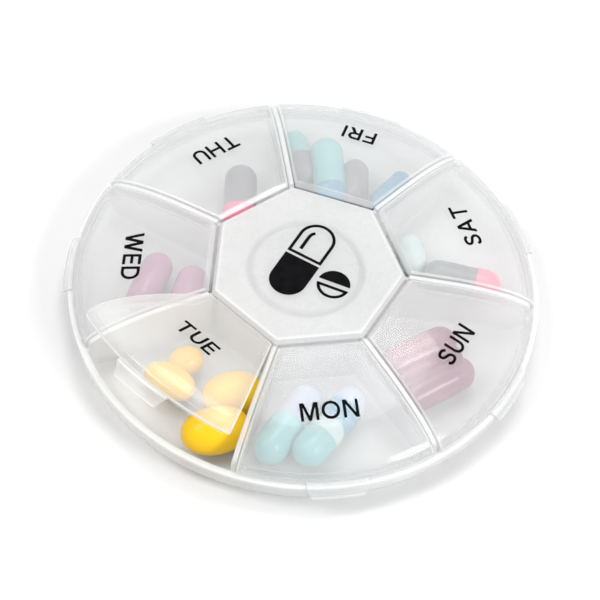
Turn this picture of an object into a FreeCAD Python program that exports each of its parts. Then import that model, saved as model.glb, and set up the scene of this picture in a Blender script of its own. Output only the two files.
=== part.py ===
import FreeCAD, Part
import os
from math import sin, cos, tan, pi, radians, sqrt

# Round seven-day travel pill organizer.
# A shallow round tray with seven wedge compartments, closed by a heptagonal hub
# plate that carries seven domed wedge lids on thin flexing webs.
# Millimetres, +Z up, origin at the centre of the flat underside of the tray.
# The first lid of the week is at -Y and the days run clockwise from above.
# Names with APOTHEM are distances from the axis to a flat of the heptagon.

V = FreeCAD.Vector

# ---- driving dimensions -----------------------------------------------------
DAYS = ["mon", "tue", "wed", "thu", "fri", "sat", "sun"]
HEIGHT = 15.0              # overall, top of the hub plate

# tray
WALL_R = 46.5              # outer radius of the wall
WALL_T = 1.5
FLOOR_T = 1.2
FOOT_R = 5.5               # outer rounding between wall and underside
FOOT_INNER_R = FOOT_R - 1.6
RIM_Z = 6.8
RIM_ROUND = 0.25           # rounding of the rim's outer edge
CORE_APOTHEM = 17.55       # heptagonal core wall
CORE_T = 1.2
SOCKET_R = 11.8            # inner radius of the socket ring on the floor
SOCKET_T = 1.2
SOCKET_Z = 12.6
DIVIDER_T = 1.0
DIVIDER_DROP = 0.35        # divider top below the lid top
DIVIDER_WALL_GAP = 0.4     # upper part of the divider to the inside of the wall
DIVIDER_CORE_LAP = 0.4     # divider start inside the core wall's outer corner
DIVIDER_NOTCH_R = 20.15    # the divider stays below the hub plate up to here
DIVIDER_FOOT_L = 0.7       # foot joining divider to wall: reach into the tray
DIVIDER_FOOT_LAP = 0.3     # and into the wall
SKIN = 0.3                 # dividers stay this far inside the outer surface
LAP = 0.2                  # overlap of fused bodies with the tray floor

# cover surface
LID_R = 45.5               # outer radius of the lids
SHELL_T = 1.15
FLAT_R = 17.8              # radius where the top starts to fall
SLOPE = 0.088              # fall per mm of radius
DOME_L = 17.5              # radial length of the domed outer part
DOME_FALL = 4.85           # extra fall over the domed outer part
DOME_STEPS = 15

# hub plate
HUB_TOP_APOTHEM = 17.20
HUB_APOTHEM = 17.70        # at the web
COLLAR_R = 11.6            # plug under the hub plate, outer radius
COLLAR_T = 1.2
COLLAR_H = 4.2
COLLAR_LAP = 0.3

# lids
RIM_GAP = 0.1              # air between rim and closed lid
LID_APOTHEM = 18.35        # inner edge at the web
LID_TOP_APOTHEM = 19.40    # inner edge at the top, after the bevel
LID_SIDE_GAP = 0.75        # side face to the divider centre plane
SKIRT_T = 0.9              # side skirt
SKIRT_H = 2.6              # skirt depth below the lid top
RIB_T = 0.9                # locating rib inside the tray wall
RIB_LOW_Z = 5.9
RIB_LAP = 0.1              # rib overlap with the shell
RIB_SIDE_GAP = 0.6         # rib end to the skirt
TAB_W = 12.6               # lift tab width at the lid
TAB_EDGE_W = 10.6          # and at its free edge
TAB_OUT = 2.1              # reach beyond the lid radius
TAB_DROP = 2.4             # hang below the lid edge

# webs
WEB_T = 0.30
WEB_END_GAP = 0.25         # how much further the web ends stop than the lid sides
AJAR_DAY = "tue"           # this lid stands ajar
AJAR_ANGLE = 30.5          # degrees

# ---- derived ----------------------------------------------------------------
COUNT = len(DAYS)
HALF_ANGLE = pi / COUNT
PITCH = 360.0 / COUNT
WALL_INNER_R = WALL_R - WALL_T
LID_EDGE_Z = RIM_Z + RIM_GAP
WEB_Z = HEIGHT - SHELL_T - 0.05          # underside of hub plate and webs
WEB_TOP_Z = WEB_Z + WEB_T
PIVOT_X = (HUB_APOTHEM + LID_APOTHEM) / 2
PIVOT_Z = WEB_Z + WEB_T / 2

# cutting bodies reach well past the part
FAR_R = 60.0
FAR_Z = 20.0
SPAN = 60.0


# ---- shape helpers ----------------------------------------------------------
def line(start, end):
    """edge between two (x, z) points"""
    return Part.makeLine(V(start[0], 0, start[1]), V(end[0], 0, end[1]))


def arc(centre, radius, start, end, y=0.0):
    """arc in a plane of constant y, centre as (x, z), angles in degrees from +X to +Z"""
    def point(angle):
        a = radians(angle)
        return V(centre[0] + radius * cos(a), y, centre[1] + radius * sin(a))
    return Part.Arc(point(start), point((start + end) / 2), point(end)).toShape()


def revolve(edges):
    return Part.Face(Part.Wire(edges)).revolve(V(0, 0, 0), V(0, 0, 1), 360)


def polygon_face(points):
    return Part.Face(Part.makePolygon(points + [points[0]]))


def prism_xy(points, z0, z1):
    return polygon_face([V(x, y, z0) for x, y in points]).extrude(V(0, 0, z1 - z0))


def prism_xz(points, width):
    """(x, z) outline extruded evenly to both sides of y = 0"""
    return polygon_face([V(x, -width / 2, z) for x, z in points]).extrude(V(0, width, 0))


def tube(outer_r, inner_r, z0, z1):
    bore = Part.makeCylinder(inner_r, z1 - z0 + 2, V(0, 0, z0 - 1))
    return Part.makeCylinder(outer_r, z1 - z0, V(0, 0, z0)).cut(bore)


def heptagon(apothem, z):
    """wire with its flats facing the lids"""
    corner_r = apothem / cos(HALF_ANGLE)
    angles = [-pi / 2 + HALF_ANGLE + 2 * HALF_ANGLE * k for k in range(COUNT)]
    points = [V(corner_r * cos(a), corner_r * sin(a), z) for a in angles]
    return Part.makePolygon(points + [points[0]])


def heptagon_prism(apothem, z0, z1):
    return Part.Face(heptagon(apothem, z0)).extrude(V(0, 0, z1 - z0))


def wedge(apothem, side_gap):
    """tall wedge around +X: inner face at apothem, sides set in from the radial planes"""
    ca, sa = cos(HALF_ANGLE), sin(HALF_ANGLE)

    def corner(along):
        return along * ca + side_gap * sa, along * sa - side_gap * ca
    inner = corner((apothem - side_gap * sa) / ca)
    outer = corner(FAR_R)
    return prism_xy([inner, outer, (outer[0], -outer[1]), (inner[0], -inner[1])], -1.0, FAR_Z)


def dome_points(inset, drop):
    """domed part of the cover surface, moved inward along its normal, then down"""
    points = []
    start_r = LID_R - DOME_L
    for i in range(DOME_STEPS + 1):
        a = pi / 2 * i / DOME_STEPS
        r = start_r + DOME_L * sin(a)
        z = HEIGHT - SLOPE * (r - FLAT_R) - DOME_FALL * (1 - cos(a))
        dr = DOME_L * cos(a)
        dz = -SLOPE * DOME_L * cos(a) - DOME_FALL * sin(a)
        length = sqrt(dr * dr + dz * dz)
        points.append(V(r + inset * dz / length, 0, z - inset * dr / length - drop))
    return points


def dome_body(inset, drop, base_z):
    """solid of revolution from base_z up to the moved cover surface"""
    points = dome_points(inset, drop)
    curve = Part.BSplineCurve()
    curve.interpolate(Points=points, InitialTangent=V(1, 0, -SLOPE), FinalTangent=V(0, 0, -1))
    length = sqrt(1 + SLOPE * SLOPE)
    flat_end = (FLAT_R - inset * SLOPE / length, HEIGHT - inset / length - drop)
    first = (points[0].x, points[0].z)
    last = (points[-1].x, points[-1].z)
    top = (0, flat_end[1])
    base = (0, base_z)
    base_edge = (last[0], base_z)
    return revolve([line(top, flat_end), line(flat_end, first), curve.toShape(),
                    line(last, base_edge), line(base_edge, base), line(base, top)])


def place(shape, day):
    """copy of a shape built around +X, turned to its compartment"""
    placed = shape.copy()
    placed.rotate(V(0, 0, 0), V(0, 0, 1), -90.0 - DAYS.index(day) * PITCH)
    return placed


# ---- tray -------------------------------------------------------------------
def tray_bowl():
    foot = WALL_R - FOOT_R
    rim = WALL_R - RIM_ROUND
    inner_foot = WALL_INNER_R - FOOT_INNER_R
    inner_foot_z = FLOOR_T + FOOT_INNER_R
    return revolve([
        line((0, 0), (foot, 0)),
        arc((foot, FOOT_R), FOOT_R, -90, 0),
        line((WALL_R, FOOT_R), (WALL_R, RIM_Z - RIM_ROUND)),
        arc((rim, RIM_Z - RIM_ROUND), RIM_ROUND, 0, 90),
        line((rim, RIM_Z), (WALL_INNER_R, RIM_Z)),
        line((WALL_INNER_R, RIM_Z), (WALL_INNER_R, inner_foot_z)),
        arc((inner_foot, inner_foot_z), FOOT_INNER_R, 0, -90),
        line((inner_foot, FLOOR_T), (0, FLOOR_T)),
        line((0, FLOOR_T), (0, 0))])


def divider_limit():
    """body just inside the outer surface of the tray, open upward"""
    foot = WALL_R - FOOT_R
    side = WALL_R - SKIN
    return revolve([
        line((0, SKIN), (foot, SKIN)),
        arc((foot, FOOT_R), FOOT_R - SKIN, -90, 0),
        line((side, FOOT_R), (side, FAR_Z)),
        line((side, FAR_Z), (0, FAR_Z)),
        line((0, FAR_Z), (0, SKIN))])


def bar(r0, r1, z0, z1):
    """divider-thick bar along +X"""
    half = DIVIDER_T / 2
    return prism_xy([(r0, -half), (r1, -half), (r1, half), (r0, half)], z0, z1)


def build_dividers():
    # the tops follow the lids just below the outer surface
    under = dome_body(0.0, DIVIDER_DROP, 0.5).common(
        Part.makeCylinder(WALL_INNER_R - DIVIDER_WALL_GAP, 30, V(0, 0, 0)))
    inner_r = CORE_APOTHEM / cos(HALF_ANGLE) - DIVIDER_CORE_LAP
    limit = divider_limit()
    dividers = []
    for k in range(COUNT):
        divider = bar(inner_r, FAR_R, FLOOR_T - LAP, FAR_Z).common(under)
        # clearance round the hub plate corner
        divider = divider.cut(Part.makeBox(DIVIDER_NOTCH_R, 10, 10, V(0, -5, WEB_Z)))
        divider = divider.fuse(bar(WALL_INNER_R - DIVIDER_FOOT_L,
                                   WALL_INNER_R + DIVIDER_FOOT_LAP, FLOOR_T + LAP, RIM_Z))
        divider.rotate(V(0, 0, 0), V(0, 0, 1), -90 + PITCH / 2 + k * PITCH)
        dividers.append(divider.common(limit))
    return dividers


def build_tray():
    core = heptagon_prism(CORE_APOTHEM, FLOOR_T - LAP, WEB_Z).cut(
        heptagon_prism(CORE_APOTHEM - CORE_T, FLOOR_T - 2 * LAP, WEB_Z + 1))
    socket = tube(SOCKET_R + SOCKET_T, SOCKET_R, FLOOR_T - LAP, SOCKET_Z)
    tray = tray_bowl().fuse([core, socket])
    return tray.fuse(build_dividers()).removeSplitter()


# ---- hub plate --------------------------------------------------------------
def build_hub():
    bevelled = Part.makeLoft([heptagon(HUB_APOTHEM, WEB_TOP_Z),
                              heptagon(HUB_TOP_APOTHEM, HEIGHT)], True, True)
    plate = heptagon_prism(HUB_APOTHEM, WEB_Z, WEB_TOP_Z).fuse(bevelled)
    collar = tube(COLLAR_R, COLLAR_R - COLLAR_T, WEB_Z - COLLAR_H, WEB_Z + COLLAR_LAP)
    return plate.fuse(collar).removeSplitter()


# ---- lids -------------------------------------------------------------------
def build_tab():
    """lip over the rim that hangs down outside the tray wall"""
    inner_x = sqrt(LID_R ** 2 - (TAB_W / 2) ** 2) - 0.6
    tip_x = LID_R + TAB_OUT
    low_z = LID_EDGE_Z - TAB_DROP
    shoulder_z = LID_EDGE_Z + 0.8
    tab = prism_xz([(inner_x, LID_EDGE_Z), (WALL_R + 0.25, LID_EDGE_Z),
                    (WALL_R + 0.55, low_z), (tip_x, low_z),
                    (tip_x - 0.55, LID_EDGE_Z + 0.05),
                    (LID_R + 0.75, shoulder_z), (inner_x, shoulder_z)], TAB_W)
    # slanted ends, narrower at the free edge
    cut_x, cut_y = 40, 12
    cut_top = shoulder_z + 0.1
    cut_low = low_z - 0.1
    for side in (-1, 1):
        end = polygon_face([V(cut_x, side * TAB_W / 2, cut_top),
                            V(cut_x, side * TAB_EDGE_W / 2, cut_low),
                            V(cut_x, side * cut_y, cut_low),
                            V(cut_x, side * cut_y, cut_top)])
        tab = tab.cut(end.extrude(V(12, 0, 0)))
    return tab


def build_lid():
    """one lid in the closed position, its middle along +X"""
    outer = dome_body(0.0, 0.0, LID_EDGE_Z)
    inner = dome_body(SHELL_T, 0.0, LID_EDGE_Z - 2)
    below_skirt = dome_body(0.0, SKIRT_H, LID_EDGE_Z - 2)
    outline = wedge(LID_APOTHEM, LID_SIDE_GAP)
    shell = outer.cut(inner).common(outline)
    skirt = outer.cut(below_skirt).common(
        outline.cut(wedge(LID_APOTHEM - 3, LID_SIDE_GAP + SKIRT_T)))
    rib_r = LID_R - SHELL_T + RIB_LAP
    rib = tube(rib_r, rib_r - RIB_T, RIB_LOW_Z, LID_EDGE_Z + 2.2)
    rib = rib.common(dome_body(0.3, 0.0, RIB_LOW_Z - 1))
    rib = rib.common(wedge(30, LID_SIDE_GAP + SKIRT_T + RIB_SIDE_GAP))
    lid = shell.fuse([skirt, rib])
    # inner edge cut to the web thickness and bevelled upward
    lid = lid.cut(prism_xz([(LID_APOTHEM - 2, WEB_TOP_Z), (LID_APOTHEM, WEB_TOP_Z),
                            (LID_TOP_APOTHEM, HEIGHT), (LID_TOP_APOTHEM, HEIGHT + 3),
                            (LID_APOTHEM - 2, HEIGHT + 3)], SPAN))
    # trim the skirts below the hinge, so the lid can lift
    trim_x = 15
    lid = lid.cut(Part.makeBox(LID_APOTHEM + 0.9 - trim_x, SPAN, WEB_Z - 1,
                               V(trim_x, -SPAN / 2, 0)))
    return lid.fuse(build_tab()).removeSplitter()


# ---- webs -------------------------------------------------------------------
def build_web(bend):
    """flexing strip between hub plate and lid, curved by bend degrees"""
    if bend == 0:
        strip = prism_xz([(HUB_APOTHEM, WEB_Z), (LID_APOTHEM, WEB_Z),
                          (LID_APOTHEM, WEB_TOP_Z), (HUB_APOTHEM, WEB_TOP_Z)], SPAN)
    else:
        # the middle line is an arc that leaves both edges square
        radius = (LID_APOTHEM - HUB_APOTHEM) / 2 / tan(radians(bend) / 2)
        centre = (HUB_APOTHEM, PIVOT_Z + radius)
        lower = arc(centre, radius + WEB_T / 2, -90, bend - 90, -SPAN / 2)
        upper = arc(centre, radius - WEB_T / 2, bend - 90, -90, -SPAN / 2)
        lower_start, lower_end = lower.Vertexes[0].Point, lower.Vertexes[-1].Point
        upper_start, upper_end = upper.Vertexes[0].Point, upper.Vertexes[-1].Point
        outline = Part.Wire([lower, Part.makeLine(lower_end, upper_start),
                             upper, Part.makeLine(upper_end, lower_start)])
        strip = Part.Face(outline).extrude(V(0, SPAN, 0))
    return strip.common(wedge(HUB_APOTHEM - 1, LID_SIDE_GAP + WEB_END_GAP))


# ---- pieces -----------------------------------------------------------------
def export(name, shape):
    if shape.ShapeType == "Compound" and len(shape.Solids) == 1:
        shape = shape.Solids[0]
    shape.exportStep("parts/%s.step" % name)


os.makedirs("parts", exist_ok=True)
export("tray", build_tray())
export("hub_plate", build_hub())
closed_lid = build_lid()
for day in DAYS:
    angle = AJAR_ANGLE if day == AJAR_DAY else 0.0
    lid = closed_lid.copy()
    if angle:
        lid.rotate(V(PIVOT_X, 0, PIVOT_Z), V(0, -1, 0), angle)
    export("lid_" + day, place(lid, day))
    export("hinge_web_" + day, place(build_web(angle), day))
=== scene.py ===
"""Round pill box for a week: a tray, a seven-sided hub plate and seven hinged lids.

The tray stands on z = 0 and the hub axis is Z. Monday lies towards -Y and the days
run clockwise seen from above. A lid and its web are built around +X, then turned to
their day; Tuesday's lid stands ajar. Sizes are millimetres; meshes are metres.
"""
from math import asin, cos, hypot, pi, radians, sin, sqrt, tan

import bmesh
import bpy
import numpy as np
from mathutils import Matrix, Vector
from mathutils.geometry import tessellate_polygon


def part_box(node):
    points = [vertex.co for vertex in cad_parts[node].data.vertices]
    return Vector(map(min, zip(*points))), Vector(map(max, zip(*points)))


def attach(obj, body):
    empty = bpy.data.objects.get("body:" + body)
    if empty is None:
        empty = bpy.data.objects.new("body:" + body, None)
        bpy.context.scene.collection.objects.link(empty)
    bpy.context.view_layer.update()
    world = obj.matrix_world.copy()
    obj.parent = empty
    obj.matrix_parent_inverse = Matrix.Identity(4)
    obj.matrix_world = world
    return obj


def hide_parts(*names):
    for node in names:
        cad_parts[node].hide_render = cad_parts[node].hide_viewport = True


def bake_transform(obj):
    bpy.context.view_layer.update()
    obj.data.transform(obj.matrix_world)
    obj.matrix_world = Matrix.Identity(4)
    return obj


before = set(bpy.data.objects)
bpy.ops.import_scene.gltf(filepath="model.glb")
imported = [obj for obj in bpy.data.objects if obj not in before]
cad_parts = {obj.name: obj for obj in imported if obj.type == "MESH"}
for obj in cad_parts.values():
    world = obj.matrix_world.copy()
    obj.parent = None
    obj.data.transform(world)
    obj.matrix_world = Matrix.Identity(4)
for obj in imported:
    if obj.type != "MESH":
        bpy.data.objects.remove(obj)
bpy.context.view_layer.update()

# ---------------------------------------------------------------- sizes, millimetres
MM = 0.001
DAYS = ["mon", "tue", "wed", "thu", "fri", "sat", "sun"]
HALF = pi / 7                       # half the angle of a compartment
OPEN = {"tue": 30.5}                # lids ajar at rest, degrees

tray_low, tray_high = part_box("tray")
R_WALL = max(tray_high.x, -tray_low.x) / MM
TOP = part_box("hub_plate")[1].z / MM

# tray
T_WALL, T_FLOOR, Z_RIM = 1.5, 1.2, 6.8
R_FOOT = 5.5                        # rounding under the wall
R_INNER = R_FOOT - 1.6              # rounding inside it
CORE, T_CORE = 17.55, 1.2           # apothem and thickness of the core wall

# lids: a flat slope, then an elliptic dome down to the wall
R_LID = R_WALL - 1.0
T_LID, SLOPE, R_FLAT = 1.15, 0.088, 17.8
DOME_A, DOME_B = 17.5, 4.85         # dome's radial and vertical half axes
R_DOME = R_LID - DOME_A             # where the dome starts
GAP, SKIRT_T, SKIRT_H = 0.75, 0.9, 2.6
LID_POINTS = 41                     # points across a lid

# hinge: apothems of the hub edge and the lid edge, web between them
HUB_EDGE, LID_EDGE = 17.70, 18.35
Z_UNDER = TOP - T_LID - 0.05
Z_WEB = Z_UNDER + 0.3
PIVOT_X, PIVOT_Z = (HUB_EDGE + LID_EDGE) / 2, Z_UNDER + 0.15


def flat_z(r):
    """sloping plane of the lids at radius r"""
    return TOP - SLOPE * np.maximum(0, r - R_FLAT)


def top_z(r):
    """outer surface of the lids at radius r; takes a number or an array"""
    k = np.clip((r - R_DOME) / DOME_A, 0, 1)
    return flat_z(r) - DOME_B * (1 - np.sqrt(np.maximum(0, 1 - k * k)))


def ease(x):
    """smooth step from 0 to 1"""
    x = min(1.0, max(0.0, x))
    return x * x * (3 - 2 * x)


def day_turn(day):
    """from the shape built around +X to the compartment of that day"""
    return Matrix.Rotation(-pi / 2 - DAYS.index(day) * 2 * pi / 7, 4, "Z")


def lid_turn(day):
    """the same, with the lid lifted to where it stands at rest"""
    turn = day_turn(day)
    if day in OPEN:
        pivot = Vector((PIVOT_X, 0, PIVOT_Z)) * MM
        lift = Matrix.Rotation(radians(-OPEN[day]), 4, "Y")
        turn = turn @ Matrix.Translation(pivot) @ lift @ Matrix.Translation(-pivot)
    return turn


# ---------------------------------------------------------------- mesh helpers
def link(name, mesh):
    ob = bpy.data.objects.new(name, mesh)
    bpy.context.scene.collection.objects.link(ob)
    return ob


def smooth(ob, angle):
    ob.data.shade_smooth()
    ob.data.set_sharp_from_angle(angle=radians(angle))


def make(name, verts, faces, angle=32):
    mesh = bpy.data.meshes.new(name)
    mesh.from_pydata([(x * MM, y * MM, z * MM) for x, y, z in verts], [], faces)
    bm = bmesh.new()
    bm.from_mesh(mesh)
    bmesh.ops.recalc_face_normals(bm, faces=bm.faces)
    bm.to_mesh(mesh)
    bm.free()
    ob = link(name, mesh)
    smooth(ob, angle)
    return ob


def union(ob, others):
    """fuse the others into ob, so that it is one closed skin"""
    for other in others:
        mod = ob.modifiers.new("u", "BOOLEAN")
        mod.operation, mod.solver, mod.object = "UNION", "MANIFOLD", other
        deps = bpy.context.evaluated_depsgraph_get()
        fused = bpy.data.meshes.new_from_object(ob.evaluated_get(deps))
        old = ob.data
        ob.modifiers.clear()
        ob.data = fused
        bpy.data.meshes.remove(old)
        bpy.data.objects.remove(other)
    bm = bmesh.new()
    bm.from_mesh(ob.data)
    bmesh.ops.remove_doubles(bm, verts=bm.verts, dist=2e-6)
    bmesh.ops.dissolve_degenerate(bm, edges=bm.edges, dist=1e-6)
    bm.to_mesh(ob.data)
    bm.free()
    return ob


def arc(cx, cy, rx, ry, start=0, end=360, steps=40):
    """points on an ellipse, degrees; a full turn leaves out the repeated end"""
    count = steps if abs(end - start) >= 360 else steps + 1
    turns = [radians(start + (end - start) * i / steps) for i in range(count)]
    return [(cx + rx * cos(a), cy + ry * sin(a)) for a in turns]


def revolve(name, profile, count=252, closed=False, angle=32):
    """turn a profile of (r, z); a point with r = 0 becomes one vertex"""
    verts, rings = [], []
    for r, z in profile:
        if r < 1e-6:
            rings.append([len(verts)])
            verts.append((0, 0, z))
        else:
            rings.append(list(range(len(verts), len(verts) + count)))
            turns = [2 * pi * k / count for k in range(count)]
            verts += [(r * cos(a), r * sin(a), z) for a in turns]
    faces = []
    for i in range(len(rings) if closed else len(rings) - 1):
        a, b = rings[i], rings[(i + 1) % len(rings)]
        for k in range(count):
            j = (k + 1) % count
            if len(a) == 1:
                faces.append((a[0], b[k], b[j]))
            elif len(b) == 1:
                faces.append((a[k], a[j], b[0]))
            else:
                faces.append((a[k], a[j], b[j], b[k]))
    return make(name, verts, faces, angle)


def bridge(rings, closed=False):
    """all points of equal rings, and the quads that join each ring to the next"""
    n, count = len(rings[0]), len(rings)
    faces = []
    for i in range(count if closed else count - 1):
        a, b = i * n, (i + 1) % count * n
        faces += [(a + k, a + (k + 1) % n, b + (k + 1) % n, b + k) for k in range(n)]
    return [point for ring in rings for point in ring], faces


def bar(name, sections, angle=32):
    """skin over equal sections, closed by a flat face at both ends"""
    verts, faces = bridge(sections)
    n = len(sections[0])
    faces += [tuple(range(n)), tuple(range(len(verts) - n, len(verts)))]
    return make(name, verts, faces, angle)


# directions round the hub, as (middle of side, angle from it), closer at the corners
DENSE = HALF * 0.84
SIDE = (list(np.linspace(-HALF, -DENSE, 6)[:-1]) + list(np.linspace(-DENSE, DENSE, 17))
        + list(np.linspace(DENSE, HALF, 6)[1:-1]))
ROUND = [(-pi / 2 + 2 * HALF * k, a) for k in range(7) for a in SIDE]


def seven_ring(apothem, z, corner):
    """seven-sided ring with its corners rounded by the corner radius"""
    ring = []
    for mid, a in ROUND:
        if abs(apothem * tan(a)) <= (apothem - corner) * tan(HALF):
            r = apothem / cos(a)
        else:
            centre, off = (apothem - corner) / cos(HALF), HALF - abs(a)
            r = centre * cos(off) + sqrt(max(0.0, corner * corner - (centre * sin(off)) ** 2))
        ring.append((r * cos(mid + a), r * sin(mid + a), z))
    return ring


def circle_ring(r, z):
    return [(r * cos(mid + a), r * sin(mid + a), z) for mid, a in ROUND]


# ---------------------------------------------------------------- tray
def tray_bowl():
    r_foot, r_in = R_WALL - R_FOOT, R_WALL - T_WALL
    rings = [33, 24, 12, 0]         # radii of the rings across the flat floor
    profile = [(r, 0) for r in reversed(rings)] + [(r_foot, 0)]
    profile += arc(r_foot, R_FOOT, R_FOOT, R_FOOT, -90, 0, 14)[1:]
    profile += [(R_WALL, Z_RIM - 0.3)]
    profile += arc(R_WALL - 0.3, Z_RIM - 0.3, 0.3, 0.3, 0, 90, 5)[1:]
    profile += arc(r_in + 0.25, Z_RIM - 0.25, 0.25, 0.25, 90, 180, 4)
    profile += arc(r_in - R_INNER, T_FLOOR + R_INNER, R_INNER, R_INNER, 0, -90, 12)
    profile += [(r, T_FLOOR) for r in rings]
    return revolve("vis_tray", profile)


def core_wall():
    """seven-sided wall under the hub, with a rounded top"""
    top, foot = Z_UNDER - 0.02, T_FLOOR - 0.4
    out, inn = CORE, CORE - T_CORE
    # apothem, z, corner radius
    stations = [
        (out, foot, 0.9), (out, 8, 0.9), (out, top - 0.25, 0.9), (out - 0.08, top - 0.07, 0.85),
        (out - 0.25, top, 0.8), (inn + 0.25, top, 0.4), (inn + 0.08, top - 0.07, 0.35),
        (inn, top - 0.25, 0.3), (inn, 8, 0.3), (inn, foot, 0.3)]
    return make("core", *bridge([seven_ring(*s) for s in stations], closed=True))


def socket_ring():
    """round ring on the floor, outside the one under the hub plate"""
    out, inn, top, foot = 13.0, 11.8, 12.6, T_FLOOR - 0.4
    profile = [
        (out + 0.25, foot), (out + 0.25, T_FLOOR + 0.05), (out + 0.05, T_FLOOR + 0.5), (out, 3),
        (out, top - 0.2), (out - 0.06, top - 0.06), (out - 0.2, top), (inn + 0.2, top),
        (inn + 0.06, top - 0.06), (inn, top - 0.2), (inn, 3), (inn - 0.02, foot)]
    return revolve("sock", profile, count=126, closed=True)


def bowl_z(r, start, radius, base):
    """height of a level that curves up with this radius from start outwards"""
    if r < start:
        return base
    return base + radius - sqrt(max(0.0, radius ** 2 - (r - start) ** 2))


def divider_stations():
    """radius and top z along a divider, kept just below the lids"""
    drop = 0.35
    end = top_z(44.6) - drop
    return [(19.1, 13.78), (19.6, 13.78), (20.1, 13.8), (20.18, 13.95), (20.22, 14.2),
            (20.3, 14.36), (20.5, top_z(20.5) - drop)] + \
        [(r, top_z(r) - drop) for r in np.linspace(21, 44.15, 30)] + \
        [(44.35, end + 0.06), (44.5, end - 0.1), (44.58, end - 0.35), (44.6, end - 0.7),
         (44.62, 7.3), (44.7, 6.78), (44.85, 6.66), (45.4, 6.64)]


def divider(k):
    """radial wall, wider where it meets the floor, between two compartments"""
    turn = Matrix.Rotation(-pi / 2 + HALF + k * 2 * HALF, 3, "Z")
    sections = []
    for r, top in divider_stations():
        floor = bowl_z(min(r, 44.85), 41.1, R_INNER, T_FLOOR)
        base = max(0.7, bowl_z(r, 41, R_FOOT, 0.0) + 0.55)
        flare = 0.62 * min(1.0, (top - floor) / 3)
        # half width, z
        half = [(0.58 + flare, base), (0.58 + flare, floor),
                (0.58 + flare * 0.42, floor + flare * 0.12),
                (0.58 + flare * 0.12, floor + flare * 0.42), (0.57, floor + flare),
                (0.5, top - 0.3), (0.46, top - 0.14), (0.35, top - 0.04), (0.18, top)]
        section = half + [(-y, z) for y, z in reversed(half)]
        sections.append([tuple(turn @ Vector((r, y, z))) for y, z in section])
    return bar("fin%d" % k, sections)


def build_tray():
    tray = tray_bowl()
    union(tray, [core_wall(), socket_ring()] + [divider(k) for k in range(7)])
    smooth(tray, 30)
    return tray


# ---------------------------------------------------------------- hub plate
def build_hub():
    # apothem, z: top, bevelled edge, underside
    plate = [
        (4, TOP), (8, TOP), (12, TOP), (15, TOP), (16.4, TOP), (16.95, TOP), (17.08, TOP - 0.02),
        (17.18, TOP - 0.08), (17.245, TOP - 0.19), (17.42, TOP - 0.5), (17.58, TOP - 0.76),
        (17.66, TOP - 0.88), (HUB_EDGE, TOP - 1.0), (HUB_EDGE, Z_UNDER + 0.06),
        (HUB_EDGE - 0.05, Z_UNDER), (17.0, Z_UNDER), (15.2, Z_UNDER), (13.2, Z_UNDER)]
    # radius, depth below the underside: round ring that hangs from the plate
    collar = [
        (12.0, 0), (11.78, 0.05), (11.65, 0.2), (11.6, 0.45), (11.6, 2.2), (11.58, 3.9),
        (11.48, 4.12), (11.3, 4.2), (10.7, 4.2), (10.5, 4.12), (10.42, 3.9), (10.4, 2.2),
        (10.4, 0.45), (10.35, 0.2), (10.22, 0.05), (10.0, 0), (6, 0), (3, 0)]
    rings = [seven_ring(apothem, z, 0.7 * min(1.0, apothem / 15)) for apothem, z in plate]
    rings += [circle_ring(r, Z_UNDER - depth) for r, depth in collar]
    verts, faces = bridge(rings)
    n = len(ROUND)
    for z, base in ((TOP, 0), (Z_UNDER, len(verts) - n)):
        verts.append((0, 0, z))
        centre = len(verts) - 1
        faces += [(base + k, base + (k + 1) % n, centre) for k in range(n)]
    return make("vis_hub_plate", verts, faces, 40)


# ---------------------------------------------------------------- lids
def plan(reach, bow, off, v):
    """point across the lid: v runs -1..1 between side lines off from the divider planes;
    bow goes from 0, a straight line, to 1, an arc about the hub"""
    half_width = reach * tan(HALF) - off / cos(HALF)
    turn = v * (HALF - asin(off / reach))
    return ((1 - bow) * reach + bow * (reach * cos(turn)),
            (1 - bow) * (v * half_width) + bow * (reach * sin(turn)))


def lid_section(reach, bow, height, normal, thick, depth, inset=0.0, gap=GAP, radius=0.38):
    """closed loop of points across the lid at one station: top, right skirt, underside,
    left skirt; height(r) is the surface, normal its (r, z) direction, depth the skirt's"""
    radius = min(radius, 0.42 * thick)
    lip, fillet = 0.16, 0.3         # roundings at the skirt's foot and its inner root
    grow = min(1.0, max(0.0, (depth - thick) / (lip + fillet + 0.05)))
    lip_h, fillet_h = lip * grow, fillet * grow
    outer, inner = gap + inset, gap + SKIRT_T
    low, under = depth - inset, thick - inset
    # distance from the divider plane, depth below the surface
    side = []
    for a in (20, 45, 70, 90):
        side.append((outer + radius * (1 - sin(radians(a))),
                     inset + radius * (1 - cos(radians(a)))))
    side += [(outer, max(inset + radius + 0.01, low - lip_h)),
             (outer + 0.3 * lip, low - 0.3 * lip_h), (outer + lip, low), (inner - lip, low),
             (inner - 0.3 * lip, low - 0.3 * lip_h), (inner, low - lip_h),
             (inner, under + fillet_h), (inner + 0.3 * fillet, under + 0.3 * fillet_h)]

    def at(off, down, v):
        x, y = plan(reach, bow, off, v)
        r = hypot(x, y)
        k = (r - down * normal[0]) / r
        return (x * k, y * k, height(r) - down * normal[1])

    half_width = plan(reach, bow, outer + radius, 1)[1]
    ends = [max(0.0, 1 - q / half_width) for q in (0.0, 0.2, 0.55, 1.1)]
    across = [-v for v in ends[:3]] + list(np.linspace(-ends[3], ends[3], LID_POINTS - 6))
    across += ends[2::-1]
    return ([at(outer + radius, inset, v) for v in across]
            + [at(off, down, 1) for off, down in side]
            + [at(inner + fillet, under, v) for v in reversed(across)]
            + [at(off, down, -1) for off, down in reversed(side)])


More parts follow.
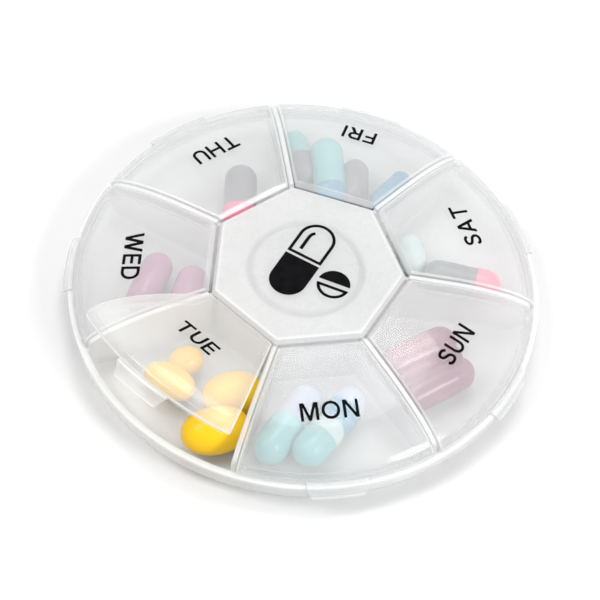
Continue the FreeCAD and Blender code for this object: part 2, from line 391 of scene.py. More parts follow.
def hinge_sections():
    """bevelled hinge edge: straight lines across, underside level with the web"""
    sections = []
    # apothem, inset
    for x, inset in [(LID_EDGE, 0.03), (LID_EDGE + 0.03, 0.0), (18.6, 0), (18.8, 0),
                     (18.95, 0), (19.1, 0), (19.2, 0)]:
        def bevel(r, x=x):
            return min(Z_WEB + (x - LID_EDGE) * 0.857, flat_z(r) + 0.02) - 0.02
        thick = bevel(x) - Z_UNDER
        sections.append(lid_section(x, 0.0, bevel, (0, 1), thick, thick + 0.02, inset,
                                    radius=0.3))
    return sections


def slope_sections():
    """flat slope, where lines across start to bow and the skirt deepens"""
    sections = []
    start = 19.3
    for x in (start, 19.42, 19.6, 19.9, 20.4, 21.0, 22.0, 23.2, 24.6, 26.2):
        bow = ease((x - start) / (R_DOME - start))
        depth = T_LID + 0.03 + ease((x - start) / 2.6) * (SKIRT_H - T_LID)
        soft = 0.05 * max(0.0, 1 - (x - 19.2) / 0.35) ** 2
        lean = min(1.0, (x - 19.2) / 6)
        normal_r = 0.0877 * lean
        sections.append(lid_section(
            x, bow, lambda r, soft=soft: flat_z(r) - soft,
            (normal_r, sqrt(1 - normal_r * normal_r)), T_LID - 0.09 * (1 - lean), depth))
    return sections


def dome_sections():
    """elliptic dome; the skirt fades out and the wall thickens towards the rim"""
    sections = []
    steps = 24
    for i in range(steps + 1):
        a = pi / 2 * i / steps
        r = R_DOME + DOME_A * sin(a)
        z = TOP - SLOPE * (r - R_FLAT) - DOME_B * (1 - cos(a))
        run, rise = DOME_A * cos(a), -SLOPE * DOME_A * cos(a) - DOME_B * sin(a)
        length = hypot(run, rise)
        fade = ease((i / steps - 0.25) / 0.6)
        thick = T_LID + min(1.0, max(0.0, (i / steps - 0.75) / 0.25)) * 0.8
        depth = max(thick + 0.02, (SKIRT_H + 0.03) * (1 - fade) + (T_LID + 0.02) * fade)
        sections.append(lid_section(r, 1.0, lambda q, z=z: z,
                                    (-rise / length, run / length), thick, depth))
    return sections


def rim_sections():
    """wall down to the rim, then in and down as a rib inside the tray wall"""
    wall = R_LID - 43.55
    # radius, z, thickness, gap
    stations = [
        (R_LID, 7.35, wall, GAP), (R_LID, 7.08, wall, GAP),
        (R_LID - 0.05, 6.96, wall - 0.05, GAP + 0.05),
        (R_LID - 0.17, 6.91, wall - 0.17, GAP + 0.17),
        (44.56, 6.90, 1.01, GAP + 1.4), (44.47, 6.86, 0.92, GAP + 1.48),
        (44.45, 6.78, 0.9, GAP + 1.5), (44.45, 6.1, 0.9, GAP + 1.5),
        (44.41, 5.96, 0.86, GAP + 1.55), (44.28, 5.9, 0.6, GAP + 1.66)]
    return [lid_section(r, 1.0, lambda q, z=z: z, (1, 0), thick, thick + 0.02,
                        gap=gap, radius=0.3) for r, z, thick, gap in stations]


def lid_shell():
    sections = hinge_sections() + slope_sections() + dome_sections() + rim_sections()
    verts, faces = bridge(sections)
    n = len(sections[0])
    side = (n - 2 * LID_POINTS) // 2
    for base in (0, len(verts) - n):
        right, below = base + LID_POINTS, base + LID_POINTS + side
        left = below + LID_POINTS
        top = list(range(base, right))
        under = list(range(below, left))[::-1]
        faces += [(top[i], top[i + 1], under[i + 1], under[i]) for i in range(LID_POINTS - 1)]
        faces.append((top[-1], *range(right, below), under[-1]))
        faces.append((under[0], *range(left, left + side), top[0]))
    return make("lid", verts, faces, 34)


def lid_tab():
    """lift tab: a lip over the rim that hangs down outside the tray wall"""
    # x, z
    profile = [
        (44.9, 7.66), (46.15, 7.66), (46.45, 7.66 - 0.07), (46.72, 7.66 - 0.3),
        (46.86, 7.66 - 0.62), (47.0, 6.6), (47.42, 4.85), (47.46, 4.66), (47.4, 4.54),
        (47.28, 4.5), (46.98, 4.5), (46.86, 4.56), (46.83, 4.7), (46.68, 6.4), (46.63, 6.7),
        (46.5, 6.87), (46.3, 6.93), (44.9, 6.93)]
    stations = [-6.3, -6.27, -6.18, -6.0] + list(np.linspace(-5.6, 5.6, 25))
    stations += [6.0, 6.18, 6.27, 6.3]
    cx = sum(x for x, z in profile) / len(profile)
    cz = sum(z for x, z in profile) / len(profile)
    sections = []
    for y in stations:
        end = max(0.0, (abs(y) - 6.0) / 0.3)
        shrink = 1 - 0.16 * (1 - sqrt(max(0.0, 1 - end * end)))
        section = []
        for x, z in profile:
            px = cx + (x - cx) * shrink if x > cx else x
            pz = cz + (z - cz) * shrink if x > 45.4 else z
            # narrower towards the foot, and curved with the tray wall
            py = y * (1 - (1 - 10.4 / 12.6) * min(1.0, max(0.0, (7.0 - pz) / 2.4)))
            curve = sqrt(R_WALL ** 2 - py * py) - R_WALL
            section.append((px + curve * (0.85 if px > 45 else 1.0), py, pz))
        sections.append(section)
    return bar("tab", sections)


# ---------------------------------------------------------------- hinge webs
def build_web(name, bend):
    """thin strip, thinner along its middle; bend in degrees at rest"""
    steps_x, steps_y = 12, 30
    # share of the way from hub to lid, half thickness
    upper = [(i / steps_x, 0.14 - 0.045 * sin(pi * i / steps_x) ** 2)
             for i in range(steps_x + 1)]
    loop = upper + [(u, -t) for u, t in reversed(upper)]
    sections = []
    for j in range(steps_y + 1):
        v = -1 + 2 * j / steps_y
        section = []
        for u, t in loop:
            x = HUB_EDGE + u * (LID_EDGE - HUB_EDGE)
            flare = 0.0
            if abs(v) > 0.99:
                flare = 0.12 * (1 - sqrt(max(0.0, 1 - (2 * u - 1) ** 2 * 0.9)))
            y = v * (x * tan(HALF) - (GAP + 0.25) / cos(HALF) + flare)
            a = radians(bend) * ease(u)
            arm = x - PIVOT_X
            section.append((PIVOT_X + arm * cos(a) - t * sin(a), y,
                            PIVOT_Z + arm * sin(a) + t * cos(a)))
        sections.append(section)
    return bar(name, sections, 50)


# ---------------------------------------------------------------- denser haze and painted highlight at edges, painted shade in gaps
def mm_coords(ob):
    coords = np.zeros(len(ob.data.vertices) * 3, np.float32)
    ob.data.vertices.foreach_get("co", coords)
    return coords.reshape(-1, 3).T / MM


def set_marks(ob, edges, dark):
    """store the strongest of the edge terms (denser haze and a painted highlight), and the places of
    painted shade, on the points
    """
    for name, values in (("edge", np.maximum.reduce(edges)), ("dark", dark)):
        attribute = ob.data.attributes.new(name, "FLOAT", "POINT")
        attribute.data.foreach_set("value", np.clip(values, 0, 1).astype(np.float32))


def near(a, b, reach):
    """1 at the line a = b = 0, falling to 0 at distance reach"""
    return np.clip(1 - np.hypot(a, b) / reach, 0, 1)


def mark_lid(ob):
    x, y, z = mm_coords(ob)
    r = np.hypot(x, y)
    off = x * sin(HALF) - np.abs(y) * cos(HALF)
    depth = np.maximum(0, top_z(r) - z)
    body = r < R_LID + 0.02
    tab = r > R_LID + 0.3
    # edge terms: denser haze plus a painted highlight along the side edges, hinge bevel, wall foot and
    # tab; the last term is painted shade along the lid's lower edge, over the tray rim
    set_marks(ob, [
        # long sides, then the hinge bevel
        1.1 * near(np.maximum(0, off - GAP - 0.1), np.maximum(0, depth - 0.1), 0.5) * body,
        0.3 * (off < GAP + 0.06) * body,
        0.4 * np.clip(1 - np.maximum(0, x - 19.25) / 0.25, 0, 1) * (z > Z_UNDER + 0.1)
        * (x < 19.6),
        # foot of the wall
        1.2 * near(np.maximum(0, R_LID - r - 0.05), np.maximum(0, z - 7.25), 0.4)
        * (z > 6.94) * body * (z < 8),
        # foot and bend of the tab
        0.8 * tab * np.clip(1 - (z - 4.5) / 0.25, 0, 1),
        0.7 * tab * np.clip(1 - np.abs(z - 7.3) / 0.35, 0, 1),
    ], 0.6 * ((z < 6.945) & (z > 6.6) & (r > 44.7) & body))


def mark_tray(ob):
    x, y, z = mm_coords(ob)
    r = np.hypot(x, y)
    a = (np.arctan2(y, x) + pi / 2) % (2 * HALF) - HALF
    off = np.abs(r * np.sin(a))
    # edge terms: denser haze plus a painted highlight on divider tops and sides, and painted light on
    # the outer wall, lightest at the rim; the last term is painted shade on the rim's inner top, under
    # the lids' edges
    set_marks(ob, [
        # divider tops, outer wall, divider sides
        0.5 * (off < 0.6) * (r > 18) * np.clip(1 - (top_z(r) - 0.35 - z) / 0.45, 0, 1),
        (r > 45.6) * (z > 0.4) * (0.10 + 0.40 * np.clip((z - 6.2) / 0.4, 0, 1)),
        0.15 * (off < 0.62) * (r > 18) * (z > 2.2),
    ], 0.35 * (r > 44.95) * (r < 45.55) * (z > 6.6))


def mark_hub(ob):
    x, y, z = mm_coords(ob)
    a = (np.arctan2(y, x) + pi / 2 + HALF) % (2 * HALF) - HALF
    apothem = np.hypot(x, y) * np.cos(a)
    # edge terms: denser haze plus a painted highlight on the plate's top edge and bevel; no painted
    # shade here
    set_marks(ob, [near(apothem - 17.1, z - TOP, 0.4) * 0.45,
                   0.2 * (apothem > 17.15) * (z > Z_UNDER + 0.1)], np.zeros(len(z)))


# ---------------------------------------------------------------- printed marks
PEN = 0.16                          # stroke width, as a share of the letter height
CAP, LETTER_GAP = 3.65, 0.155       # letter height, and gap as a share of it
INK_LIFT, INK_SINK = 0.035, 0.02
# where a label stands: distance from the hub axis, shift sideways
LABEL_AT = {"mon": (33.1, -0.3), "tue": (32.5, 0.0), "wed": (34.0, 0.9), "thu": (34.2, -1.2),
            "fri": (36.2, 0.0), "sat": (34.0, 0.0), "sun": (33.4, 0.3)}


def ribbon(points, width, steps=6):
    """outline of a band along a smooth curve through the points"""
    p = [np.array(q, float) for q in points]
    p = [2 * p[0] - p[1]] + p + [2 * p[-1] - p[-2]]
    line = []
    for i in range(1, len(p) - 2):
        before, start, end, after = p[i - 1:i + 3]
        for k in range(steps):
            u = k / steps
            line.append(0.5 * ((2 * start) + (-before + end) * u
                               + (2 * before - 5 * start + 4 * end - after) * u * u
                               + (-before + 3 * start - 3 * end + after) * u ** 3))
    line.append(p[-2])
    left, right = [], []
    for i, q in enumerate(line):
        along = line[min(i + 1, len(line) - 1)] - line[max(i - 1, 0)]
        along = along / np.linalg.norm(along)
        off = np.array([-along[1], along[0]]) * width / 2
        left.append(tuple(q + off))
        right.append(tuple(q - off))
    return left + right[::-1]


def arms(wide, middle):
    """upper part of E and F, from the stem's right side below the middle arm"""
    low, high = .5 - PEN / 2, .5 + PEN / 2
    return [(PEN, low), (middle, low), (middle, high), (PEN, high), (PEN, 1 - PEN),
            (wide, 1 - PEN), (wide, 1), (0, 1)]


def glyphs():
    """letter: (width, loops), one unit high; the first loop is the outline, others holes"""
    t = PEN
    low, high = .5 - t / 2, .5 + t / 2
    g = {}
    w = 0.80
    g["T"] = (w, [[(0, 1), (0, 1 - t), (w / 2 - t / 2, 1 - t), (w / 2 - t / 2, 0),
                   (w / 2 + t / 2, 0), (w / 2 + t / 2, 1 - t), (w, 1 - t), (w, 1)]])
    g["H"] = (w, [[(0, 0), (t, 0), (t, low), (w - t, low), (w - t, 0), (w, 0), (w, 1),
                   (w - t, 1), (w - t, high), (t, high), (t, 1), (0, 1)]])
    g["I"] = (t, [[(0, 0), (t, 0), (t, 1), (0, 1)]])
    w = 0.66
    g["E"] = (w, [[(0, 0), (w, 0), (w, t)] + [(t, t)] + arms(w, w - .05)])
    g["F"] = (w - .02, [[(0, 0), (t, 0)] + arms(w - .02, w - .08)])
    w = 0.82
    slant = t / (w - t - .02)
    g["N"] = (w, [[(0, 0), (t, 0), (t, 1 - slant), (w - t - .02, 0), (w, 0), (w, 1),
                   (w - t, 1), (w - t, slant), (t + .02, 1), (0, 1)]])
    g["D"] = (w, [[(0, 0)] + arc(w - .46, .5, .46, .5, -90, 90, 22) + [(0, 1)],
                  [(t, t)] + arc(w - .46, .5, .46 - t, .5 - t, -90, 90, 18) + [(t, 1 - t)]])
    w = 0.97
    g["M"] = (w, [[(0, 0), (t, 0), (t, .74), (w / 2 - .07, 0), (w / 2 + .07, 0),
                   (w - t, .74), (w - t, 0), (w, 0), (w, 1), (w - t - .07, 1), (w / 2, .26),
                   (t + .07, 1), (0, 1)]])
    g["W"] = (1.28, [[(0, 1), (.26, 0), (.45, 0), (.64, .70), (.83, 0), (1.02, 0), (1.28, 1),
                      (1.09, 1), (.925, .32), (.74, 1), (.54, 1), (.355, .32), (.19, 1)]])
    w = 0.76
    g["U"] = (w, [[(0, 1)] + arc(w / 2, w / 2, w / 2, w / 2, 180, 360, 20)
                  + [(w, 1), (w - t, 1)]
                  + arc(w / 2, w / 2, w / 2 - t, w / 2 - t, 360, 180, 16) + [(t, 1)]])
    g["O"] = (0.98, [arc(.49, .5, .49, .51), arc(.49, .5, .49 - t, .51 - t)])
    w = 0.74
    g["R"] = (w, [[(0, 0), (t, 0), (t, .41), (.31, .41), (w - .215, 0), (w, 0), (.49, .43)]
                  + arc(.42, .705, .29, .295, -62, 90, 16) + [(0, 1)],
                  [(t, 1 - t), (t, .41 + t)]
                  + arc(.42, .705, .29 - t, .295 - t, -90, 90, 12)])
    g["S"] = (0.68, [ribbon([
        (.60, .755), (.52, .875), (.345, .915), (.17, .87), (.10, .74), (.175, .605),
        (.35, .53), (.525, .45), (.60, .30), (.54, .145), (.35, .085), (.15, .13),
        (.07, .265)], t)])
    g["A"] = (0.92, [[(0, 0), (.19, 0), (.27, .23), (.65, .23), (.73, 0), (.92, 0), (.56, 1),
                      (.36, 1)], [(.325, .385), (.46, .785), (.595, .385)]])
    return g


def print_mesh(name, polys, place, step=0.45):
    """thin printed layer: polygons (with holes) in the plane, cut every step so that
    place(u, v, height) can drape them"""
    bm = bmesh.new()
    for poly in polys:
        loops = [[Vector((x, y, 0)) for x, y in loop] for loop in poly]
        verts = [bm.verts.new(p) for loop in loops for p in loop]
        for tri in tessellate_polygon(loops):
            # skips a triangle that is degenerate or already there
            try:
                bm.faces.new([verts[i] for i in tri])
            except ValueError:
                pass
    bmesh.ops.remove_doubles(bm, verts=bm.verts, dist=1e-5)
    spans = [[v.co[axis] for v in bm.verts] for axis in (0, 1)]
    for axis, span in enumerate(spans):
        cut = min(span) + step
        while cut < max(span):
            point, normal = [0, 0, 0], [0, 0, 0]
            point[axis], normal[axis] = cut, 1
            bmesh.ops.bisect_plane(bm, geom=bm.verts[:] + bm.edges[:] + bm.faces[:],
                                   plane_co=point, plane_no=normal)
            cut += step
    bmesh.ops.remove_doubles(bm, verts=bm.verts, dist=3e-4)
    bmesh.ops.dissolve_degenerate(bm, edges=bm.edges, dist=2e-4)
    for face in bm.faces:
        face.normal_update()
        if face.normal.z < 0:
            face.normal_flip()
    new = bmesh.ops.extrude_face_region(bm, geom=bm.faces[:])["geom"]
    raised = {v for v in new if isinstance(v, bmesh.types.BMVert)}
    for v in bm.verts:
        v.co = Vector(place(v.co.x, v.co.y, INK_LIFT if v in raised else -INK_SINK)) * MM
    bmesh.ops.recalc_face_normals(bm, faces=bm.faces)
    mesh = bpy.data.meshes.new(name)
    bm.to_mesh(mesh)
    bm.free()
    ob = link(name, mesh)
    smooth(ob, 40)
    return ob


def build_label(day):
    letters = glyphs()
    word = day.upper()
    total = sum(letters[c][0] for c in word) + LETTER_GAP * (len(word) - 1)
    start, polys = -total / 2, []
    for c in word:
        wide, loops = letters[c]
        polys.append([[((x + start) * CAP, (y - 0.5) * CAP) for x, y in loop]
                      for loop in loops])
        start += wide + LETTER_GAP
    out, side = LABEL_AT[day]

    def place(u, v, height):
        # letters stand with their tops towards the hub
        x, y = out - v, u + side
        r = hypot(x, y)
        e = 0.01
        slope = (top_z(r + e) - top_z(r - e)) / (2 * e)
        length = sqrt(1 + slope * slope)
        k = (r - height * slope / length) / r
        return (x * k, y * k, top_z(r) + height / length)
    return print_mesh("print_" + day, polys, place)


def turned(polys, angle, cx, cy):
    c, s = cos(radians(angle)), sin(radians(angle))
    return [[[(cx + x * c - y * s, cy + x * s + y * c) for x, y in loop] for loop in poly]
            for poly in polys]


def build_mark():
    """generic picture of a capsule and a scored tablet"""
    line = 0.62
    length, radius = 5.6, 3.75      # capsule: middle to centre of a round end, radius

    def half(r, start):
        return [(start, -r)] + arc(length, 0, r, r, -90, 90, 24) + [(start, r)]
    solid_half = [(0.0, radius)] + arc(-length, 0, radius, radius, 90, 270, 24)
    solid_half += [(0.0, -radius)]
    glint = [(2.1, 1.25), (2.1, 1.95), (length, 1.95), (length + .9, 1.7),
             (length + 1.5, 1.15), (length + 1.0, .75), (length + .55, 1.1), (length, 1.25)]
    pill = [[solid_half], [half(radius, 0.55), half(radius - line, 0.55 + line)], [glint]]

    r = 3.3
    chord, score = r * cos(radians(8)), -0.46
    tablet = [
        [arc(0, 0, r, r, 8, 172, 26)],
        [arc(0, 0, r, r, 188, 352, 26) + arc(0, 0, r - line, r - line, 349, 191, 22)],
        [[(-chord, score), (chord, score), (chord - .45, score - line),
          (-chord + .45, score - line)]]]
    polys = turned(pill, 52, -1.0, 1.35) + turned(tablet, -30, 4.15, -5.25)
    return print_mesh("print_hub_mark", polys,
                      lambda x, y, height: (x + 0.4, y - 0.1, TOP + height), step=2.5)


# ---------------------------------------------------------------- materials
def add(tree, kind, inputs, **settings):
    """new shader node; an input is given a value or linked from a socket"""
    node = tree.nodes.new("ShaderNode" + kind)
    for key, value in settings.items():
        setattr(node, key, value)
    for key, value in inputs.items():
        if isinstance(value, bpy.types.NodeSocket):
            tree.links.new(value, node.inputs[key])
        else:
            node.inputs[key].default_value = value
    return node


def new_material(name):
    material = bpy.data.materials.new(name)
    material.use_nodes = True
    material.node_tree.nodes.clear()
    return material, material.node_tree


def ramp(tree, source, low, high):
    """spread the middle of a noise, 0.3 to 0.7, over low to high"""
    return add(tree, "MapRange", {"From Min": 0.3, "From Max": 0.7, "To Min": low,
                                  "To Max": high, "Value": source}).outputs["Result"]


def noise(tree, scale, detail, rough, offset=(0, 0, 0)):
    coords = add(tree, "TexCoord", {}).outputs["Object"]
    moved = add(tree, "Mapping", {"Location": offset, "Vector": coords}).outputs["Vector"]
    return add(tree, "TexNoise", {"Scale": scale, "Detail": detail, "Roughness": rough,
                                  "Vector": moved}).outputs["Fac"]


def calc(tree, operation, a, b):
    return add(tree, "Math", {0: a, 1: b}, operation=operation).outputs[0]


def mix_colour(tree, factor, a, b):
    """a is a colour or a socket, b a colour"""
    base = (*a, 1) if isinstance(a, tuple) else a
    return add(tree, "Mix", {"A": base, "B": (*b, 1), "Factor": factor},
               data_type="RGBA").outputs["Result"]


def bump(tree, height, strength):
    return add(tree, "Bump", {"Strength": strength, "Distance": 0.00003,
                              "Height": height}).outputs["Normal"]


def frosted(name, haze, slant_haze, light, dark, rough, seed, edge_haze=0.3, ior=1.7):
    """frosted see-through polypropylene: a white haze over what lies behind, denser at
    edges and at grazing angles; part of the haze lets light through. The colour carries a painted
    highlight on edges, painted shade in gaps and painted shade at grazing angles"""
    material, tree = new_material(name)
    cloud = noise(tree, scale=45, detail=3, rough=0.55, offset=(seed, seed * 2, 0.3))
    speck = noise(tree, scale=2200, detail=2, rough=0.5, offset=(seed, 0.1, 0.7))
    mid = noise(tree, scale=300, detail=3, rough=0.55, offset=(0.4, seed, 0.2))
    dense_edge_highlight = add(tree, "Attribute", {}, attribute_name="edge").outputs["Fac"]
    painted_shade = add(tree, "Attribute", {}, attribute_name="dark").outputs["Fac"]
    slant = add(tree, "LayerWeight", {"Blend": 0.35}).outputs["Facing"]

    # painted shade: the colour greys towards grazing angles, so outlines stay readable on a bright
    # ground
    slant_painted_shade = calc(tree, "MULTIPLY", calc(tree, "POWER", slant, 1.5), 0.5)
    colour = mix_colour(tree, ramp(tree, cloud, 0, 1), dark, light)
    # colour: painted highlight (near white) on edges, painted shade (dark grey) in the gaps, then the
    # painted shade at grazing angles
    for factor, tint in ((calc(tree, "MULTIPLY", dense_edge_highlight, 0.7), (0.93, 0.935, 0.935)),
                         (calc(tree, "MULTIPLY", painted_shade, 0.75), (0.22, 0.22, 0.22)),
                         (slant_painted_shade, (0.40, 0.405, 0.41))):
        colour = mix_colour(tree, factor, colour, tint)

    grain = calc(tree, "ADD", speck, calc(tree, "MULTIPLY", mid, 0.25))
    surface = add(tree, "BsdfPrincipled", {
        "Base Color": colour,
        "Roughness": calc(tree, "ADD", ramp(tree, mid, rough - 0.03, rough + 0.03),
                          ramp(tree, speck, -0.015, 0.015)),
        "IOR": ior,
        "Normal": bump(tree, grain, strength=0.035)}).outputs[0]
    glow = add(tree, "BsdfTranslucent", {"Color": colour}).outputs[0]
    body = add(tree, "MixShader", {0: 0.35, 1: surface, 2: glow}).outputs[0]

    # opacity: slant, clouds, fine mottling, edges, places of painted shade
    alpha = calc(tree, "MULTIPLY", calc(tree, "POWER", slant, 2.2), slant_haze)
    for layer in (ramp(tree, cloud, haze - 0.025, haze + 0.025),
                  ramp(tree, mid, -0.01, 0.01),
                  calc(tree, "MULTIPLY", dense_edge_highlight, edge_haze),
                  calc(tree, "MULTIPLY", painted_shade, 0.5)):
        alpha = calc(tree, "ADD", alpha, layer)
    alpha = calc(tree, "MINIMUM", alpha, 0.97)
    clear = add(tree, "BsdfTransparent", {}).outputs[0]
    mixed = add(tree, "MixShader", {0: alpha, 1: clear, 2: body}).outputs[0]
    add(tree, "OutputMaterial", {"Surface": mixed})
    return material


def solid(name, a, b, rough, scale, grain, spec, coat=0.0):
    """opaque, mottled between colours a and b; grain is the strength of the bumps"""
    material, tree = new_material(name)
    mottle = noise(tree, scale, detail=4, rough=0.6)
    fine = noise(tree, scale * 18, detail=2, rough=0.5, offset=(0.2, 0.4, 0.1))
    surface = add(tree, "BsdfPrincipled", {
        "Base Color": mix_colour(tree, ramp(tree, mottle, 0, 1), a, b),
        "Roughness": ramp(tree, fine, rough - 0.05, rough + 0.05),
        "Specular IOR Level": spec,
        "Coat Weight": coat,
        "Normal": bump(tree, fine, grain)}).outputs[0]
    add(tree, "OutputMaterial", {"Surface": surface})
    return material


def dress(ob, *materials):
    ob.data.materials.clear()
    for material in materials:
        ob.data.materials.append(material)
    return ob


# the same polypropylene in every part; the tints differ to set each part's brightness: the tray's
# lighter tint is painted light, the hub's darker tint painted shade
COVER = frosted("cover_pp", haze=0.25, slant_haze=0.55, light=(0.77, 0.775, 0.775),
                dark=(0.74, 0.745, 0.75), rough=0.13, seed=0.0)
HUB = frosted("hub_pp", haze=0.60, slant_haze=0.26, light=(0.705, 0.71, 0.705),
              dark=(0.68, 0.685, 0.685), rough=0.28, seed=0.6, ior=1.6)
TRAY = frosted("tray_pp", haze=0.43, slant_haze=0.42, light=(0.89, 0.895, 0.89),
               dark=(0.865, 0.87, 0.865), rough=0.32, seed=1.7, ior=1.6)
WEB = frosted("web_pp", haze=0.05, slant_haze=0.16, light=(0.84, 0.845, 0.85),
              dark=(0.80, 0.805, 0.81), rough=0.2, seed=3.1, edge_haze=0.0)
INK = solid("print_black", (0.0015, 0.0015, 0.002), (0.005, 0.005, 0.0055), rough=0.5,
            scale=400, grain=0.1, spec=0.02)

# ---------------------------------------------------------------- the object
tray = dress(build_tray(), TRAY)
mark_tray(tray)
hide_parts("tray")
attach(tray, "base")

hub = dress(build_hub(), HUB)
mark_hub(hub)
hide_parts("hub_plate")
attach(hub, "base")

hub_mark = dress(build_mark(), INK)
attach(hub_mark, "base")


def add_lid(pattern, day):
    body = "lid_" + day
    mesh = pattern.data.copy()
    mesh.name = "vis_" + body
    mesh.transform(lid_turn(day))
    lid = dress(link("vis_" + body, mesh), COVER)
    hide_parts(body)
    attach(lid, body)
    label = dress(build_label(day), INK)
    label.data.transform(lid_turn(day))
    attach(label, body)


def add_web(day):
    bend = OPEN.get(day, 0.0)
    turn = day_turn(day)
    web = dress(build_web("vis_hinge_web_" + day, bend), WEB)
    web.data.transform(turn)
    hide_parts("hinge_web_" + day)
    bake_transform(web)


lid_pattern = union(lid_shell(), [lid_tab()])
smooth(lid_pattern, 34)
mark_lid(lid_pattern)
for day in DAYS:
    add_lid(lid_pattern, day)
    add_web(day)
bpy.data.objects.remove(lid_pattern)

# ---------------------------------------------------------------- contents: stage dressing only
# two mottling colours, roughness
GELS = {
    "teal": ((0.15, 0.40, 0.42), (0.18, 0.44, 0.46), 0.22),
    "blue": ((0.05, 0.23, 0.36), (0.07, 0.27, 0.41), 0.22),
    "lilac": ((0.34, 0.38, 0.50), (0.37, 0.42, 0.54), 0.22),
    "mauve": ((0.36, 0.15, 0.25), (0.40, 0.18, 0.28), 0.22),
    "plum": ((0.17, 0.02, 0.07), (0.21, 0.035, 0.095), 0.22),
    "rose": ((0.30, 0.12, 0.17), (0.34, 0.15, 0.20), 0.22),
    "pink": ((0.72, 0.10, 0.20), (0.78, 0.14, 0.26), 0.22),
    "slate": ((0.10, 0.12, 0.12), (0.15, 0.17, 0.17), 0.22),
    "grey": ((0.17, 0.17, 0.18), (0.22, 0.22, 0.23), 0.22),
    "pale": ((0.44, 0.55, 0.54), (0.49, 0.59, 0.58), 0.22),
    "yellow": ((0.74, 0.44, 0.0), (0.78, 0.48, 0.001), 0.36),
}
GEL = {name: solid("gel_" + name, *look, scale=120, grain=0.03, spec=0.35, coat=0.12)
       for name, look in GELS.items()}

# name, centres of the two round ends, radius, their colours, place of the joint (0..1)
CAPSULES = [
    ("mon_a", (-3.2, -24.9, 4.6), (-11.3, -34.7, 4.6), 3.3, "lilac", "teal"),
    ("mon_b", (-0.2, -32.7, 5.2), (-3.9, -36.1, 4.8), 3.4, "pale", "teal", 0.25),
    ("mon_c", (5.3, -26.2, 4.6), (2.4, -29.6, 4.4), 3.3, "lilac", "blue", 0.3),
    ("sun_a", (27.4, -21.7, 4.7), (17.5, -26.3, 4.7), 3.35, "plum", "plum", 0.15),
    ("sun_b", (25.1, -14.1, 4.6), (15.9, -18.0, 4.6), 3.3, "plum", "rose", 0.2),
    ("sun_c", (26.2, -17.7, 4.2), (17.4, -21.9, 4.2), 2.9, "plum", "plum"),
    ("sat_a", (27.6, 2.3, 4.4), (36.4, -1.1, 4.4), 3.1, "slate", "pink", 0.8),
    ("sat_b", (23.2, 10.1, 4.0), (23.4, 6.3, 4.0), 2.6, "pale", "pale"),
    ("fri_a", (4.0, 38.9, 3.8), (4.7, 30.6, 3.8), 2.4, "teal", "grey"),
    ("fri_b", (9.8, 34.6, 4.6), (9.3, 25.2, 4.6), 3.4, "teal", "blue", 0.97),
    ("fri_c", (15.0, 29.6, 4.2), (14.0, 24.4, 4.0), 2.8, "grey", "grey"),
    ("fri_d", (24.1, 27.4, 3.2), (18.9, 22.6, 3.2), 2.0, "blue", "blue"),
    ("thu_a", (-8.5, 29.5, 4.6), (-9.9, 21.2, 4.6), 3.3, "grey", "pink", 0.9),
    ("wed_a", (-27.9, 9.7, 4.4), (-31.7, 2.6, 4.4), 3.1, "mauve", "mauve"),
    ("wed_b", (-21.4, 5.9, 4.4), (-24.0, -0.2, 4.4), 3.1, "mauve", "mauve"),
]
# name, centre, direction, half length, radius
SOFTGELS = [
    ("tue_a", (-21.4, -30.6, 5.8), (1.0, 0.12, 0), 6.8, 4.7),
    ("tue_b", (-17.0, -22.4, 5.6), (1.0, 0.1, 0), 6.0, 4.4),
    ("tue_c", (-28.6, -17.6, 4.6), (0.8, -0.62, 0), 5.4, 3.3),
    ("tue_d", (-25.0, -13.2, 4.3), (0.9, 0.3, 0), 3.6, 3.0),
]


def lay(ob, direction, origin, *colours):
    """turn Z to the direction, move to the origin and colour"""
    turn = direction.to_track_quat("Z", "Y").to_matrix().to_4x4()
    turn.translation = Vector(origin) * MM
    ob.data.transform(turn)
    dress(ob, *[GEL[colour] for colour in colours])


def capsule(name, start, end, r, colour_a, colour_b, joint=0.47):
    """two-part capsule; the second part is slightly wider"""
    along = Vector(end) - Vector(start)
    length = along.length
    cut, cap = length * joint, r + 0.14
    profile = [(r * sin(radians(a)), -r * cos(radians(a))) for a in range(0, 90, 9)]
    profile += [(r, 0), (r, cut - 0.1), (r + 0.02, cut), (cap, cut + 0.05), (cap, length)]
    profile += [(cap * cos(radians(a)), length + cap * sin(radians(a)))
                for a in range(9, 90, 9)]
    profile += [(0, length + cap)]
    ob = revolve("pill_" + name, profile, count=40, angle=50)
    for face in ob.data.polygons:
        face.material_index = 1 if face.center.z > (cut + 0.02) * MM else 0
    indices = [face.material_index for face in ob.data.polygons]
    lay(ob, along, start, colour_a, colour_b)
    ob.data.polygons.foreach_set("material_index", indices)


def softgel(name, centre, axis, half_length, r):
    """oval softgel with a faint seam"""
    steps = 32
    profile = []
    for i in range(steps + 1):
        a = pi * i / steps
        profile.append((r * sin(a) ** 0.9 if 0 < i < steps else 0.0, -half_length * cos(a)))
    ob = revolve("pill_" + name, profile, count=48, angle=60)
    for v in ob.data.vertices:
        off = abs(v.co.y) / MM
        if off < 0.16:
            v.co.x *= 1 + 0.012 * (1 - off / 0.16)
    lay(ob, Vector(axis).normalized(), centre, "yellow")


for row in CAPSULES:
    capsule(*row)
for row in SOFTGELS:
    softgel(*row)


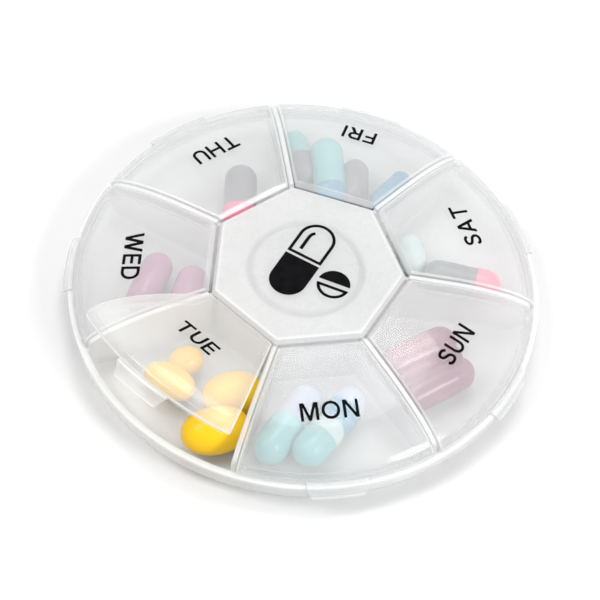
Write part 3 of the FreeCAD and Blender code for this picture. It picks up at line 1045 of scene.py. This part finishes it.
# ---------------------------------------------------------------- floor, light, camera (metres)
def build_floor():
    s = 1.6
    mesh = bpy.data.meshes.new("floor")
    mesh.from_pydata([(-s, -s, 0), (s, -s, 0), (s, s, 0), (-s, s, 0)], [], [(0, 1, 2, 3)])
    ob = link("floor", mesh)
    ob.location.z = -0.0001
    dress(ob, solid("floor_white", (0.56, 0.56, 0.56), (0.57, 0.57, 0.57), rough=0.6,
                    scale=6, grain=0.02, spec=0.2))


def area_light(name, place, size, power):
    light = bpy.data.lights.new(name, "AREA")
    light.shape, light.size, light.energy = "DISK", size, power
    aim = Vector((0, 0, 0.01)) - Vector(place)
    ob = link(name, light)
    ob.location = place
    ob.rotation_euler = aim.to_track_quat("-Z", "Y").to_euler()


def build_world():
    world = bpy.data.worlds.new("studio")
    bpy.context.scene.world = world
    world.use_nodes = True
    tree = world.node_tree
    tree.nodes.clear()
    sky = add(tree, "Background", {"Color": (1.0, 1.0, 1.0, 1), "Strength": 0.78})
    add(tree, "OutputWorld", {"Surface": sky.outputs[0]})


def build_camera():
    lens = 191.9
    azimuth, elevation, roll = radians(-13.11), radians(53.7), radians(6.0)
    distance = 0.624
    hub_on_sensor = (0.3858, 2.136)     # mm right of and above the sensor's middle

    data = bpy.data.cameras.new("camera")
    data.lens, data.sensor_width, data.sensor_fit = lens, 36.0, "HORIZONTAL"
    data.clip_start, data.clip_end = 0.05, 20
    camera = link("camera", data)
    back = Vector((sin(azimuth) * cos(elevation), -cos(azimuth) * cos(elevation),
                   sin(elevation)))
    right = (-back).cross(Vector((0, 0, 1))).normalized()
    up = right.cross(-back).normalized()
    facing = Matrix((right, up, back)).transposed()
    # swing the view so that the hub's top falls on its place on the sensor
    ray = Vector((*hub_on_sensor, -lens)).normalized()
    swing = ray.rotation_difference(Vector((0, 0, -1))).to_matrix()
    matrix = (facing @ Matrix.Rotation(roll, 3, "Z") @ swing).to_4x4()
    matrix.translation = Vector((0, 0, TOP * MM)) + back * distance
    camera.matrix_world = matrix
    bpy.context.scene.camera = camera


build_floor()
area_light("left", (-0.60, 0.03, 0.86), size=0.40, power=5.2)
area_light("front_right", (0.62, -0.63, 0.66), size=0.40, power=8.8)
area_light("back", (0.13, 0.34, 1.05), size=0.55, power=6.0)
build_world()
build_camera()

scene = bpy.context.scene
scene.view_settings.view_transform = "Standard"
scene.view_settings.look = "None"
scene.cycles.transparent_max_bounces = 24
scene.cycles.max_bounces = 10
